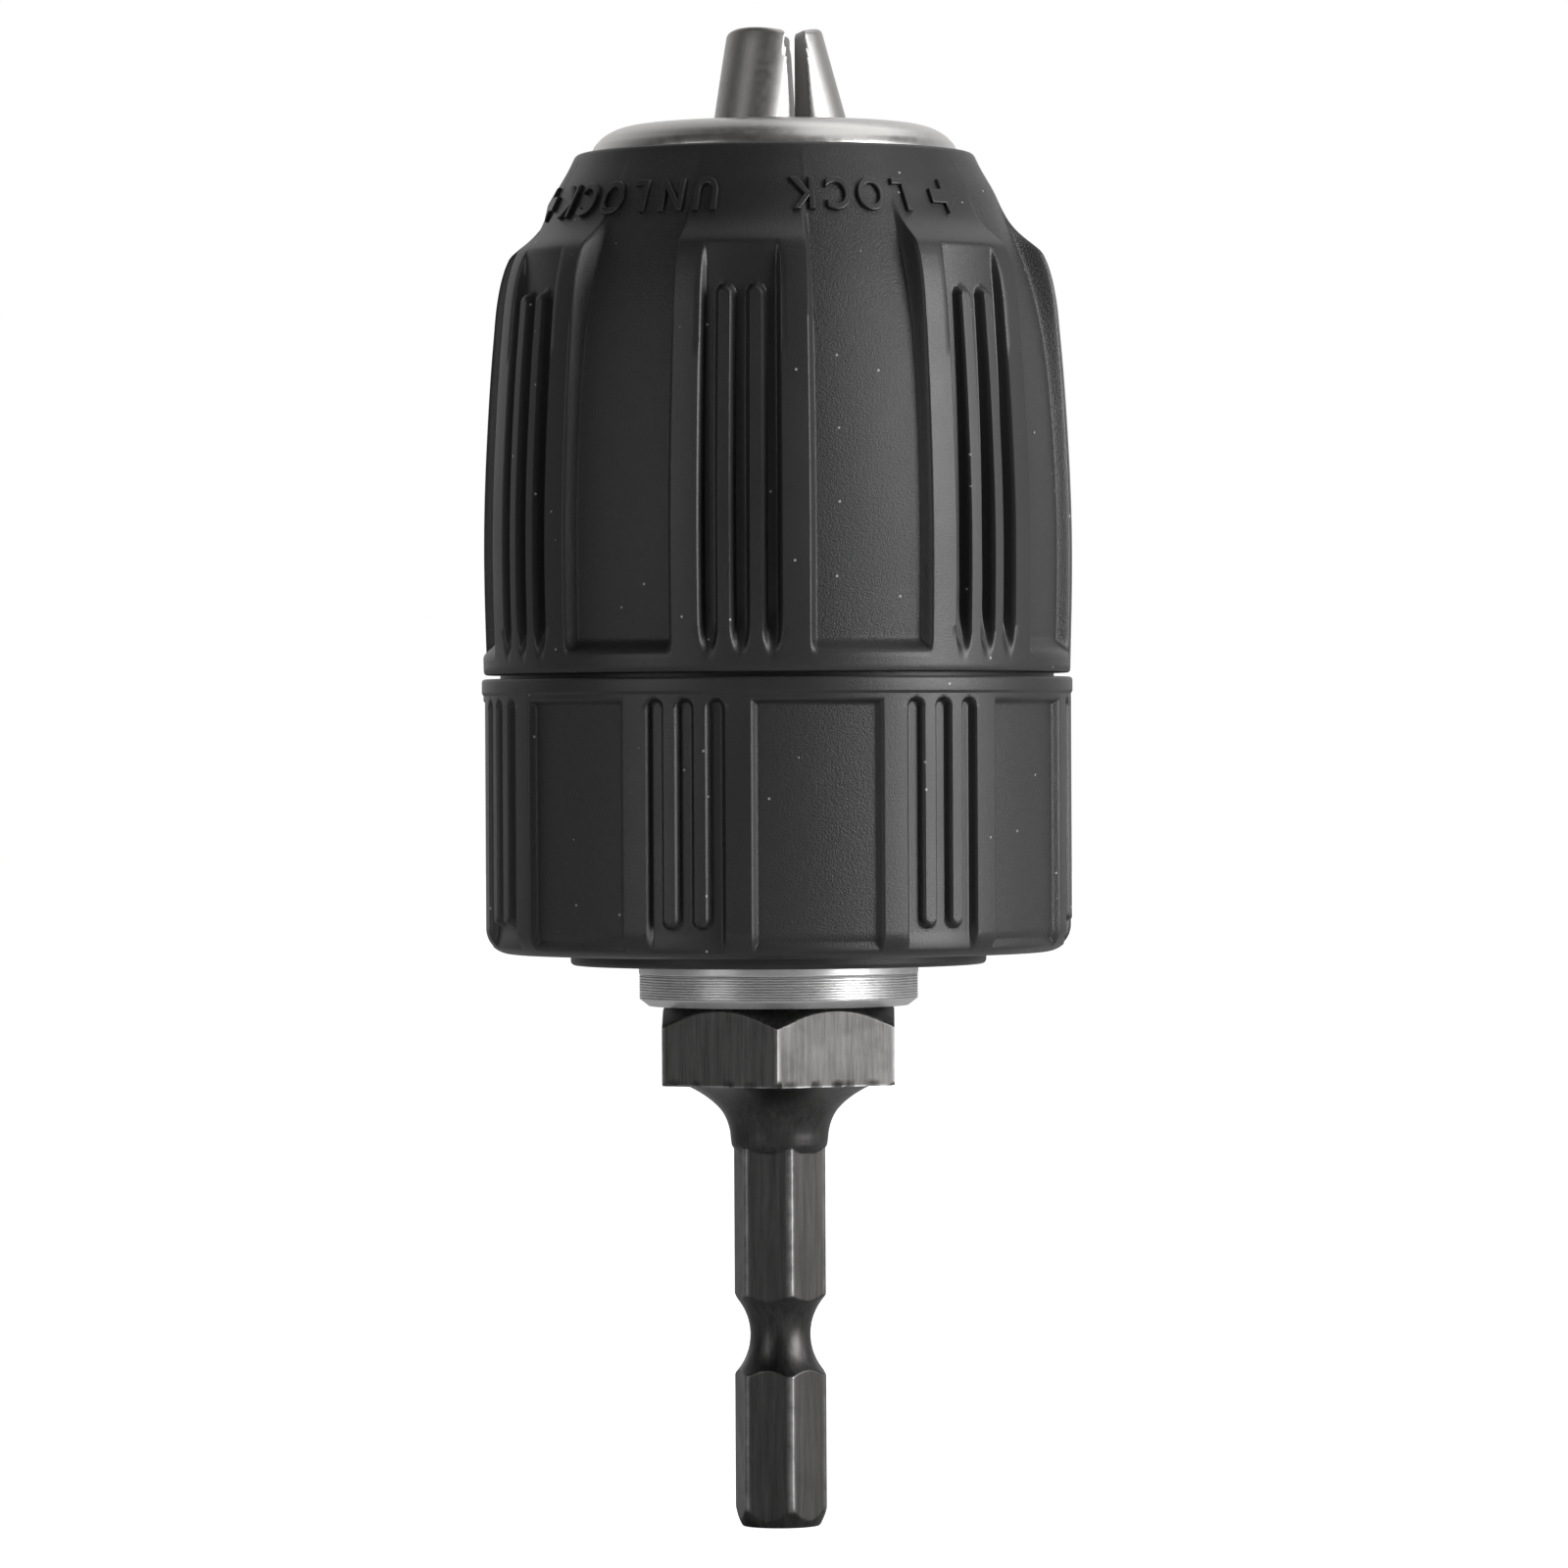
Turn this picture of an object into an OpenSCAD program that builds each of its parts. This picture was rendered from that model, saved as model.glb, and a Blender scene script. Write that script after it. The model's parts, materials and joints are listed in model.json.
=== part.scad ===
// Keyless drill chuck, 13 mm, with two sleeves and a 1/4 inch hex drive adapter.
// Millimetres. +Z runs along the spindle axis towards the nose. The origin is the centre of the
// end face of the hex shank.

/* [Drive adapter] */
// Width across the flats of the hex shank
shank_af = 6.35; // [6.30:0.01:6.38]
// Radius of the turned corners of the hex shank
shank_corner_r = 3.6; // [3.5:0.02:3.64]
// Height of the ball detent groove above the end of the shank
detent_z = 14.45; // [14.2:0.05:14.7]
// Radius of the neck in the detent groove
detent_neck_r = 2.28; // [2.2:0.02:2.6]
// Length of the hex shank, up to the start of its flare
shank_len = 28.6; // [28:0.2:29]
// Width across the flats of the wrench hex
wrench_af = 17.46; // [17:0.02:17.6]
// Height of the lower face of the wrench hex
wrench_z = 33.4; // [33.2:0.1:33.6]
// Turn of the shank hex about the axis
shank_turn = 42.7; // [0:0.1:60]
// Turn of the wrench hex about the axis
wrench_turn = 29.4; // [0:0.1:60]
// Major diameter of the mounting thread
stud_d = 12.7; // [12.6:0.1:12.7]
// Pitch of the mounting thread
stud_pitch = 1.27; // [1.2:0.01:1.3]

/* [Body] */
// Height of the seat where the body meets the adapter
seat_z = 39.3; // [39.2:0.1:39.4]
// Radius of the bare steel boss at the tail
tail_r = 10.56; // [10.4:0.02:10.6]
// Height of the body at the nose
nose_z = 104.35; // [104.2:0.05:104.4]

/* [Jaws] */
// Largest tool diameter that the jaws take
grip_max = 13; // [12:0.5:13]
// Angle between each jaw and the spindle axis
jaw_tilt = 15.3; // [15.2:0.05:15.4]
// Diameter of each jaw
jaw_d = 7.1; // [6.9:0.02:7.1]
// Length of each jaw along its own axis
jaw_len = 36; // [34:0.5:37]
// Height where the three jaw axes meet
apex_z = 112.8; // [112.6:0.1:113]
// Height of the jaw tips as stored
tip_z = 113.05; // [112.8:0.05:113.2]
// Distance of the meeting line of the two gripping flanks from the axis, as stored
jaw_open = 1.03; // [1.0:0.01:1.4]
// How far the gripping edge is ground back from the meeting line of its flanks
edge_flat = 0.67; // [0.4:0.01:0.7]
// Direction of the first jaw about the axis
jaw_turn = -123; // [-180:1:180]
// Pitch of the jaw thread, along the jaw
jaw_pitch = 1.5875; // [1.5:0.0125:1.6]

/* [Sleeves] */
// Number of lands around each sleeve
lands = 7; // [6:1:8]
// Radius over the lands of the sleeves
sleeve_r = 22.35; // [22.2:0.05:22.4]
// Radius of the bore of both sleeves
sleeve_bore_r = 19; // [18.95:0.05:19.05]
// Height of the lower edge of the front sleeve
front_z = 64.3; // [64.2:0.05:64.4]
// Height of the top rim of the front sleeve
rim_z = 103.5; // [103.3:0.1:103.6]
// Height of the upper edge of the rear sleeve
rear_z = 64.0; // [63.9:0.05:64.05]
// Angular width of one panel between two lands
panel_angle = 23.5; // [20:0.5:25]
// Depth of the panels of the front sleeve
front_panel_depth = 1.0; // [0.8:0.1:1.1]
// Depth of the panels of the rear sleeve
rear_panel_depth = 0.55; // [0.4:0.05:0.6]
// Direction of one land of the front sleeve
front_turn = -96.9; // [-180:0.1:180]
// Direction of one land of the rear sleeve
rear_turn = -107.9; // [-180:0.1:180]

/* [Bearing] */
// Number of bearing balls
balls = 28; // [20:1:28]
// Diameter of each ball
ball_d = 2.5; // [2.4:0.1:2.5]
// Radius of the circle of the ball centres
ball_circle_r = 16.7; // [16.6:0.1:16.8]

/* [Hidden] */

black_plastic = "#26262a";
bright_steel = "#b9bcc0";
satin_nickel = "#a9a6a0";
black_oxide = "#47474a";
hard_steel = "#8d8f93";
brass_tone = "#b08d4c";

run_gap = 0.05;
float_gap = 0.3;
round_fn = 96;

// Adapter
stud_top_z = 55.3;
stud_clear = 0.08;
stud_root_r = stud_d / 2 - 0.61 * stud_pitch;
stud_threads = 11;
thread_z = seat_z + 1.2;
screw_r = 2.5;
screw_hole_z = 42;
flare_r = 5.6;
flare_x = 8.98;

// Body heights, from the tail to the nose
collar_z = 45.4;
collar_top_z = 54;
web_z = 56;
throat_z = 59;
throat_r = grip_max / 2 + 0.1;
ledge_z = 67.5;
race_z = 71.6;
race_t = 0.8;
groove_z = 75.3;
groove_top_z = 83.9;
shoulder_z = 98.7;
body_r = 16.2;
ledge_r = sleeve_bore_r - float_gap;
race_in_r = 15.2;
race_out_r = 18.2;
groove_floor_r = 11;
upper_r = 14.6;
nose_seat_r = 12.9;

// Bearing and nut stack
ball_gap = 0.04;
ball_z = race_z + race_t + ball_gap + ball_d / 2;
front_race_z = ball_z + ball_d / 2 + ball_gap;
nut_z = front_race_z + race_t;
nut_h = 7.8;
nut_out_r = 17;
nut_split = 0.1;
band_lip_t = 1;
cage_t = 0.8;

// Jaws
jaw_r = jaw_d / 2;
jaw_reach = jaw_r / cos(jaw_tilt);
tip_t = (apex_z - tip_z + jaw_r * sin(jaw_tilt)) / cos(jaw_tilt);
smooth_len = 9.5;
teeth = floor((jaw_len - smooth_len) / jaw_pitch) - 1;
tooth_depth = 1.0;
jaw_bore_len = 57.5;

// Sleeves
land_angle = 360 / lands;
groove_angle = 2.85;
groove_pitch = 6.15;
groove_depth = 1;
lip_z = 99;
lip_top_z = 100.5;
rim_in_r = 14.3;
rear_floor_z = 43.3;
rear_boss_z = 42.4;
rear_boss_r = 15.7;

function jaw_axis_r(z) = (apex_z - z) * tan(jaw_tilt);
function arc(cx, cz, r, a0, a1, n) = [for (i = [0:n]) let (a = a0 + (a1 - a0) * i / n)
    [cx + r * cos(a), cz + r * sin(a)]];

// The saw-tooth outline of a turned thread, from its foot to its end.
function thread_outline(crest_r, root_r, z0, pitch, count) = [for (i = [0:count - 1], side = [0, 1])
    [side == 0 ? root_r : crest_r, z0 + (i + side / 2) * pitch]];

// Leans what is drawn along -Z from the origin onto the axis of one jaw.
module on_jaw_axis(turn) {
    rotate([0, 0, turn])
        translate([0, 0, apex_z])
            rotate([0, -jaw_tilt, 0])
                children();
}

module around(count, turn) {
    for (i = [0:count - 1])
        rotate([0, 0, turn + i * 360 / count])
            children();
}

// A block that is centred on +X and follows the outline pts around the axis.
module sector(width, pts) {
    rotate([0, 0, -width / 2])
        rotate_extrude(angle = width, $fn = round_fn)
            polygon(pts);
}

module chuck_body() {
    thread_top = thread_z + stud_threads * stud_pitch;
    color(bright_steel)
    difference() {
        rotate_extrude($fn = round_fn)
            polygon([[0, seat_z], [tail_r - 0.6, seat_z], [tail_r, seat_z + 0.6], [tail_r, collar_z],
                [sleeve_bore_r, collar_z], [sleeve_bore_r, collar_top_z],
                [body_r, collar_top_z + 1.5], [body_r, ledge_z - 1.5], [ledge_r, ledge_z],
                [ledge_r, race_z + 0.6], [race_out_r + run_gap, race_z + 0.6],
                [race_out_r + run_gap, race_z], [13.6, race_z], [13.6, groove_z],
                [groove_floor_r, groove_z], [groove_floor_r, groove_top_z],
                [upper_r, groove_top_z], [upper_r, shoulder_z], [nose_seat_r, shoulder_z],
                [nose_seat_r, nose_z - 0.5], [nose_seat_r - 0.5, nose_z], [0, nose_z]]);
        translate([0, 0, throat_z])
            cylinder(r = throat_r, h = nose_z, $fn = round_fn);
        translate([0, 0, web_z - 1])
            cylinder(r = screw_r + 0.4, h = 5, $fn = round_fn);
        rotate_extrude($fn = round_fn)
            polygon(concat([[0, seat_z - 1], [stud_d / 2 + 0.2, seat_z - 1],
                [stud_d / 2 + 0.2, thread_z - 0.3]],
                [for (p = thread_outline(stud_d / 2 - 0.1, stud_root_r, thread_z, stud_pitch,
                    stud_threads)) [p[0] + stud_clear, p[1]]],
                [[stud_root_r + stud_clear, thread_top], [stud_root_r + stud_clear, web_z],
                [0, web_z]]));
        for (i = [0:2])
            on_jaw_axis(jaw_turn + i * 120)
                translate([0, 0, -jaw_bore_len])
                    cylinder(r = jaw_r + run_gap, h = jaw_bore_len + 5, $fn = round_fn);
    }
}

// One jaw: a leaning rod whose inner side is cut to a 120 degree wedge, with thread segments on
// its outer side that step by a third of a pitch from jaw to jaw.
module jaw(index) {
    turn = jaw_turn + index * 120;
    edge = jaw_open + edge_flat;
    far = 40;
    color(hard_steel)
    difference() {
        intersection() {
            on_jaw_axis(turn)
                translate([0, 0, -tip_t - jaw_len])
                    cylinder(r = jaw_r, h = jaw_len, $fn = round_fn);
            rotate([0, 0, turn])
                linear_extrude(height = tip_z + 1)
                    polygon([[edge, -edge_flat * sqrt(3)], [far, -(far - jaw_open) * sqrt(3)],
                        [far, (far - jaw_open) * sqrt(3)], [edge, edge_flat * sqrt(3)]]);
        }
        for (i = [0:teeth - 1]) {
            z = tip_z - (smooth_len + (i + index / 3) * jaw_pitch) * cos(jaw_tilt);
            crest_r = jaw_axis_r(z) + jaw_reach + 0.05;
            rotate_extrude($fn = round_fn)
                polygon([[crest_r, z + 0.55], [crest_r - tooth_depth, z + 0.15],
                    [crest_r - tooth_depth, z - 0.15], [crest_r + 0.3, z - 0.6], [crest_r + 3, z]]);
        }
    }
}

// The split nut, whose bore is a cone that follows the crests of the jaw threads.
module nut_half(side) {
    bore_foot = jaw_axis_r(nut_z) + jaw_reach + 2 * run_gap;
    bore_top = jaw_axis_r(nut_z + nut_h) + jaw_reach + 2 * run_gap;
    color(bright_steel)
    intersection() {
        rotate_extrude($fn = round_fn)
            polygon([[bore_foot, nut_z], [nut_out_r - 0.4, nut_z], [nut_out_r, nut_z + 0.4],
                [nut_out_r, nut_z + nut_h], [bore_top, nut_z + nut_h]]);
        translate([-30, side > 0 ? nut_split / 2 : -30 - nut_split / 2, nut_z - 1])
            cube([60, 30, nut_h + 2]);
    }
}

// The pressed shell that holds the halves of the nut together and drives them.
module nut_band() {
    top = nut_z + nut_h;
    color(hard_steel)
    rotate_extrude($fn = round_fn)
        polygon([[nut_out_r, nut_z], [sleeve_bore_r - 0.3, nut_z], [sleeve_bore_r, nut_z + 0.3],
            [sleeve_bore_r, top + band_lip_t - 0.8], [sleeve_bore_r - 0.8, top + band_lip_t],
            [upper_r + 0.4, top + band_lip_t], [upper_r + 0.4, top], [nut_out_r, top]]);
}

module front_sleeve() {
    crown = [[15.25, rim_z - 0.6], [16.8, 99.6], [18.2, 97.8], [19.2, 96.9], [20.5, 95.1],
        [21.1, 93.3], [21.8, 86.2], [22.2, 79.1], [sleeve_r, 73.8], [22.2, 66.7]];
    color(black_plastic)
    difference() {
        rotate_extrude($fn = round_fn)
            polygon(concat([[sleeve_bore_r, front_z], [22.15, front_z], [22.15, 65.85]],
                [for (i = [len(crown) - 1:-1:0]) crown[i]],
                [[14.9, rim_z], [rim_in_r, rim_z], [rim_in_r, lip_top_z],
                [nose_seat_r + 2 * run_gap, lip_top_z], [nose_seat_r + 2 * run_gap, lip_z],
                [upper_r + 0.4, lip_z], [upper_r + 1, 97], [18.2, 91],
                [18.2, nut_z + nut_h + band_lip_t], [sleeve_bore_r, nut_z + nut_h + band_lip_t]]));
        around(lands, front_turn + land_angle / 2)
            sector(panel_angle, [[sleeve_r - front_panel_depth - 0.05, 65.85],
                [sleeve_r - front_panel_depth, 75], [21, 82], [20.5, 88], [19.8, 92],
                [18.9, 95], [18, 97.2], [17.25, 99], [26, 99], [26, 65.85]]);
        around(lands, front_turn)
            for (k = [-1:1])
                rotate([0, 0, k * groove_pitch])
                    sector(groove_angle, [[22.2, 65.9], [sleeve_r - groove_depth, 68],
                        [21.2, 79], [20.8, 86], [20.2, 91], [20.9, 92.5], [26, 93], [26, 65.9]]);
    }
}

// The domed ring that is pressed on the nose and keeps the front sleeve in place.
module nose_ring() {
    dome_r = 2.6;
    out_r = 13.95;
    top_z = 105.6;
    color(satin_nickel)
    rotate_extrude($fn = round_fn)
        polygon(concat([[nose_seat_r, 100.8], [out_r, 100.8]],
            arc(out_r - dome_r, top_z - dome_r, dome_r, 0, 90, 10),
            [[9.4, top_z], [9, top_z - 0.4], [9, nose_z + 0.05],
            [nose_seat_r, nose_z + 0.05]]));
}

module bearing_balls() {
    color(bright_steel)
    around(balls, 0)
        translate([ball_circle_r, 0, ball_z])
            sphere(d = ball_d, $fn = 32);
}

module ball_cage() {
    color(brass_tone)
    difference() {
        translate([0, 0, ball_z - cage_t / 2])
            cylinder(r = race_out_r - 0.1, h = cage_t, $fn = round_fn);
        translate([0, 0, ball_z - cage_t])
            cylinder(r = race_in_r + 0.1, h = 2 * cage_t, $fn = round_fn);
        around(balls, 0)
            translate([ball_circle_r, 0, ball_z - cage_t])
                cylinder(r = ball_d / 2 + run_gap, h = 2 * cage_t, $fn = 24);
    }
}

module thrust_washer(z) {
    color(hard_steel)
    difference() {
        translate([0, 0, z])
            cylinder(r = race_out_r, h = race_t, $fn = round_fn);
        translate([0, 0, z - 1])
            cylinder(r = race_in_r, h = race_t + 2, $fn = round_fn);
    }
}

module rear_sleeve() {
    color(black_plastic)
    difference() {
        rotate_extrude($fn = round_fn)
            polygon(concat([[tail_r + run_gap, rear_boss_z], [rear_boss_r - 0.5, rear_boss_z],
                [rear_boss_r, rear_boss_z + 0.4], [rear_boss_r, rear_floor_z]],
                arc(20.15, rear_floor_z + 2, 2, -90, 0, 8),
                [[22.15, 62.3], [22.3, 62.3], [22.3, rear_z], [sleeve_bore_r + 0.3, rear_z],
                [sleeve_bore_r + 0.3, collar_top_z], [sleeve_bore_r, collar_top_z],
                [sleeve_bore_r, collar_z], [tail_r + run_gap, collar_z]]));
        around(lands, rear_turn + land_angle / 2)
            sector(panel_angle + 1, [[20, 44.1], [21, 44.4], [22.15 - rear_panel_depth, 46],
                [22.15 - rear_panel_depth, 62.1], [26, 62.1], [26, 44.1]]);
        around(lands, rear_turn)
            for (k = [-1:1])
                rotate([0, 0, k * groove_pitch])
                    sector(groove_angle, [[21.2, 45], [21.3, 61.8], [26, 62.2], [26, 45]]);
    }
}

module hex_bar(af, corner_r, z0, z1, turn) {
    intersection() {
        rotate([0, 0, turn])
            translate([0, 0, z0])
                cylinder(r = af / 2 / cos(30), h = z1 - z0, $fn = 6);
        translate([0, 0, z0])
            cylinder(r = corner_r, h = z1 - z0, $fn = round_fn);
    }
}

module hex_adapter() {
    wrench_r = wrench_af / 2 / cos(30);
    groove_half = 2.9;
    chamfer_r = 8.5;
    color(black_oxide)
    difference() {
        union() {
            // Shank: chamfered end, detent groove, and the flare under the wrench hex
            intersection() {
                hex_bar(shank_af, shank_corner_r, 0, shank_len + 1.5, shank_turn);
                rotate_extrude($fn = round_fn)
                    polygon(concat([[0, 0], [2.95, 0], [3.75, 1.7],
                        [3.75, detent_z - groove_half - 0.4]],
                        arc(detent_neck_r + 4.2, detent_z, 4.2, 221, 139, 12),
                        [[3.75, detent_z + groove_half + 0.4], [3.75, shank_len + 1.5],
                        [0, shank_len + 1.5]]));
            }
            rotate_extrude($fn = round_fn)
                polygon(concat([[0, shank_len - 0.7], [3.1, shank_len - 0.7]],
                    arc(flare_x, shank_len - 0.8, flare_r, 170, 97.5, 12),
                    [[8.3, wrench_z], [8.3, wrench_z + 1], [0, wrench_z + 1]]));
            intersection() {
                rotate([0, 0, wrench_turn])
                    translate([0, 0, wrench_z])
                        cylinder(r = wrench_r, h = seat_z - wrench_z, $fn = 6);
                rotate_extrude($fn = round_fn)
                    polygon([[0, wrench_z], [wrench_r - 0.2, wrench_z],
                        [wrench_r + 0.3, wrench_z + 0.5],
                        [wrench_r + 0.3, seat_z - (wrench_r + 0.3 - chamfer_r) * tan(43)],
                        [chamfer_r, seat_z], [0, seat_z]]);
            }
            rotate_extrude($fn = round_fn)
                polygon(concat([[0, seat_z - 1], [stud_root_r, seat_z - 1]],
                    thread_outline(stud_d / 2 - 0.1, stud_root_r, thread_z, stud_pitch,
                        stud_threads),
                    [[stud_root_r, thread_z + stud_threads * stud_pitch],
                    [stud_root_r - 0.8, stud_top_z], [0, stud_top_z]]));
        }
        translate([0, 0, screw_hole_z])
            cylinder(r = screw_r + run_gap, h = 20, $fn = round_fn);
    }
}

// The left-hand screw down the middle of the chuck that locks the adapter in its thread.
module retaining_screw() {
    color(hard_steel)
    difference() {
        rotate_extrude($fn = round_fn)
            polygon([[0, screw_hole_z + 1.2], [screw_r - 0.6, screw_hole_z + 1.2],
                [screw_r, screw_hole_z + 1.8], [screw_r, throat_z],
                [5, throat_z], [5, throat_z + 2], [4.4, throat_z + 2.6],
                [0, throat_z + 2.6]]);
        for (a = [0, 90])
            rotate([0, 0, a])
                translate([-3, -0.6, throat_z + 1])
                    cube([6, 1.2, 3]);
    }
}

chuck_body();
jaw(0);  // jaw_1
jaw(1);  // jaw_2
jaw(2);  // jaw_3
nut_half(1);  // nut_half_a
nut_half(-1);  // nut_half_b
nut_band();
front_sleeve();
nose_ring();
bearing_balls();
ball_cage();
thrust_washer(front_race_z);  // thrust_washer_front
thrust_washer(race_z);  // thrust_washer_rear
rear_sleeve();
hex_adapter();
retaining_screw();
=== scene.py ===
# %% [markdown]
# # A keyless drill chuck on a hex drive shank
# The chuck has a black moulded front sleeve that the hand turns, a short rear sleeve that is fixed
# to the steel body, three leaning jaws, a domed nose ring and a black-oxide drive adapter.
# The engineering model already says where every piece is and how it moves. This lesson gives
# each piece its real surface: small radii, ribs, flutes, thread crests and moulding grain.
# The frame is loaded first, because every later place and size is read from it.

# %% Load the fixed frame
import json
import math

import bpy
import numpy as np
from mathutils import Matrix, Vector


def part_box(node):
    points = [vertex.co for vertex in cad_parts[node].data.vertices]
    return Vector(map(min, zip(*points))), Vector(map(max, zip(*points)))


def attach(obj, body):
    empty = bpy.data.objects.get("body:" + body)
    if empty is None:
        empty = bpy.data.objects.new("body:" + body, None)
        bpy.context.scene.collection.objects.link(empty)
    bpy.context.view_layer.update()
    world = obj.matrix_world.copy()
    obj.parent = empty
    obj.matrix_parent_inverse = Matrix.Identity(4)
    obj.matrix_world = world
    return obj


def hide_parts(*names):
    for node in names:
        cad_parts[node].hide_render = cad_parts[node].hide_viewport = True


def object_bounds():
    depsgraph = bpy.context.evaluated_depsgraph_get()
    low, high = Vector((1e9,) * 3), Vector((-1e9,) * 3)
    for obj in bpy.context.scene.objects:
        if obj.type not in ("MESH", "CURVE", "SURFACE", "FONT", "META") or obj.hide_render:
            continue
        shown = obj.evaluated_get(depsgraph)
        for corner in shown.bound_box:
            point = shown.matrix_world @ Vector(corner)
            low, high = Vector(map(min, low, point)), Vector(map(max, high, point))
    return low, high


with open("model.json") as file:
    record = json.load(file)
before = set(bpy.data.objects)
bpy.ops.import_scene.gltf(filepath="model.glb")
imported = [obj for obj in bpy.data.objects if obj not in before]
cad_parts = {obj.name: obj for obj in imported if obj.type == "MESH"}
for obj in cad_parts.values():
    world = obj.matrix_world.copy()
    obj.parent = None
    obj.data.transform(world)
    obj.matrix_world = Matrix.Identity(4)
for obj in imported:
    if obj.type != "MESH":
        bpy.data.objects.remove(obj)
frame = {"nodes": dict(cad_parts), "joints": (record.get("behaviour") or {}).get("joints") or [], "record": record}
cad_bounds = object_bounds()
MM = 0.001

# %% [markdown]
# A turned or moulded piece is easiest to think about as a stack of rings around the spindle.
# So the first helper skins a grid of rings into a closed mesh. Everything is drawn in
# millimetres, as on a workshop drawing, and scaled to metres once, in this helper.
# Smooth shading with sharp edges by angle keeps machined corners crisp.

# %% Skin a stack of rings
SHARP_EDGE = math.radians(38)


def as_piece(name, mesh):
    mesh.update()
    mesh.shade_smooth()
    mesh.set_sharp_from_angle(angle=SHARP_EDGE)
    piece = bpy.data.objects.new(name, mesh)
    bpy.context.scene.collection.objects.link(piece)
    return piece


def skin(name, grid, hollow=True):
    """Joins ring after ring. A hollow piece closes on itself, a solid one gets flat ends."""
    rows, columns = grid.shape[:2]
    index = np.arange(rows * columns).reshape(rows, columns)
    low = index if hollow else index[:-1]
    high = np.roll(index, -1, axis=0) if hollow else index[1:]
    quads = np.stack([low, np.roll(low, -1, 1), np.roll(high, -1, 1), high], axis=-1)
    faces = quads.reshape(-1, 4).tolist()
    if not hollow:
        faces += [index[0][::-1].tolist(), index[-1].tolist()]
    mesh = bpy.data.meshes.new(name)
    mesh.from_pydata((grid.reshape(-1, 3) * MM).tolist(), [], faces)
    print(f"{name}: {rows} rings of {columns} points")
    return as_piece(name, mesh)


# %% [markdown]
# Most outlines here are straight cuts joined by small radii, the way a lathe tool leaves them.
# An outline is a list of (radius, height) corners, and a third number rounds a corner off.
# A second helper draws a fair curve through a few points, for moulded shapes with no straight
# stretch in them.

# %% Outlines with rounded corners, and fair curves
CORNER_STEPS = 6


def outline(*corners):
    drawn = []
    for i, corner in enumerate(corners):
        here = np.array(corner[:2], float)
        if len(corner) < 3:
            drawn.append(here)
            continue
        before = np.array(corners[i - 1][:2]) - here
        after = np.array(corners[(i + 1) % len(corners)][:2]) - here
        before /= np.linalg.norm(before)
        after /= np.linalg.norm(after)
        half = math.acos(float(np.clip(before @ after, -1, 1))) / 2
        reach = corner[2] / math.tan(half)
        for t in np.linspace(0, 1, CORNER_STEPS):
            arm = before * (1 - t) ** 2 + after * t**2
            drawn.append(here + arm * reach)
    return np.array(drawn)


def fair_curve(*points):
    """A function of height that runs smoothly through (height, radius) points."""
    heights, radii = np.array(points, float).T
    slopes = np.gradient(radii, heights)

    def radius_at(height):
        height = np.clip(height, heights[0], heights[-1])
        i = np.clip(np.searchsorted(heights, height) - 1, 0, len(heights) - 2)
        span = heights[i + 1] - heights[i]
        t = (height - heights[i]) / span
        rise = radii[i + 1] - radii[i]
        ease = t * t * (3 - 2 * t)
        lean = t * (1 - t) * ((1 - t) * slopes[i] - t * slopes[i + 1]) * span
        return radii[i] + rise * ease + lean

    return radius_at


def ring_of(radius, height, angles):
    """Grid of points for each (radius, height) pair, at each angle."""
    radius = np.broadcast_to(radius, (len(height), len(angles)))
    height = np.broadcast_to(np.reshape(height, (len(height), -1)), radius.shape)
    return np.stack([radius * np.cos(angles), radius * np.sin(angles), height], axis=-1)


def turned(name, drawn, columns=240, hollow=True):
    angles = np.linspace(0, 2 * math.pi, columns, endpoint=False)
    return skin(name, ring_of(drawn[:, :1], drawn[:, 1], angles), hollow)


print("a rounded corner is drawn with", CORNER_STEPS, "points")


# %% [markdown]
# Finishes come next. Each is a small tree of procedural nodes on one shader, and all of them read
# the same object coordinates, which are metres on the real object. A grain of a fifth of a
# millimetre is then simply a noise with a scale of about five thousand.
# One helper adds a node and wires its inputs, so that each finish reads like a recipe.

# %% Wire a finish


def add(tree, kind, inputs=None, **settings):
    made = tree.nodes.new(kind)
    for key, value in settings.items():
        setattr(made, key, value)
    for key, value in (inputs or {}).items():
        if isinstance(value, bpy.types.NodeSocket):
            tree.links.new(value, made.inputs[key])
        else:
            made.inputs[key].default_value = value
    return made


def new_finish(name, metallic, specular=0.5):
    finish = bpy.data.materials.new(name)
    finish.use_nodes = True
    tree = finish.node_tree
    shader = tree.nodes["Principled BSDF"]
    shader.inputs["Metallic"].default_value = metallic
    shader.inputs["Specular IOR Level"].default_value = specular
    place = add(tree, "ShaderNodeTexCoord").outputs["Object"]
    return finish, tree, shader, place


def stretched(tree, place, x, y, z):
    """The same place, squeezed along each axis, for grain that runs one way."""
    return add(tree, "ShaderNodeMapping", {"Vector": place, "Scale": (x, y, z)}).outputs[0]


def noise(tree, place, scale, detail=2.0, rough=0.5):
    made = add(tree, "ShaderNodeTexNoise",
               {"Vector": place, "Scale": scale, "Detail": detail, "Roughness": rough})
    return made.outputs["Fac"]


def between(tree, value, from_low, from_high, to_low, to_high):
    made = add(tree, "ShaderNodeMapRange",
               {"Value": value, "From Min": from_low, "From Max": from_high,
                "To Min": to_low, "To Max": to_high})
    return made.outputs["Result"]


def blend_colours(tree, share, first, second):
    made = add(tree, "ShaderNodeMix", data_type="RGBA")
    for socket, value in ((made.inputs["Factor"], share), (made.inputs[6], first),
                          (made.inputs[7], second)):
        if isinstance(value, bpy.types.NodeSocket):
            tree.links.new(value, socket)
        else:
            socket.default_value = value
    return made.outputs[2]


def maths(tree, what, first, second=0.0):
    made = add(tree, "ShaderNodeMath", operation=what)
    for socket, value in zip(made.inputs, (first, second)):
        if isinstance(value, bpy.types.NodeSocket):
            tree.links.new(value, socket)
        else:
            socket.default_value = value
    return made.outputs[0]


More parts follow.
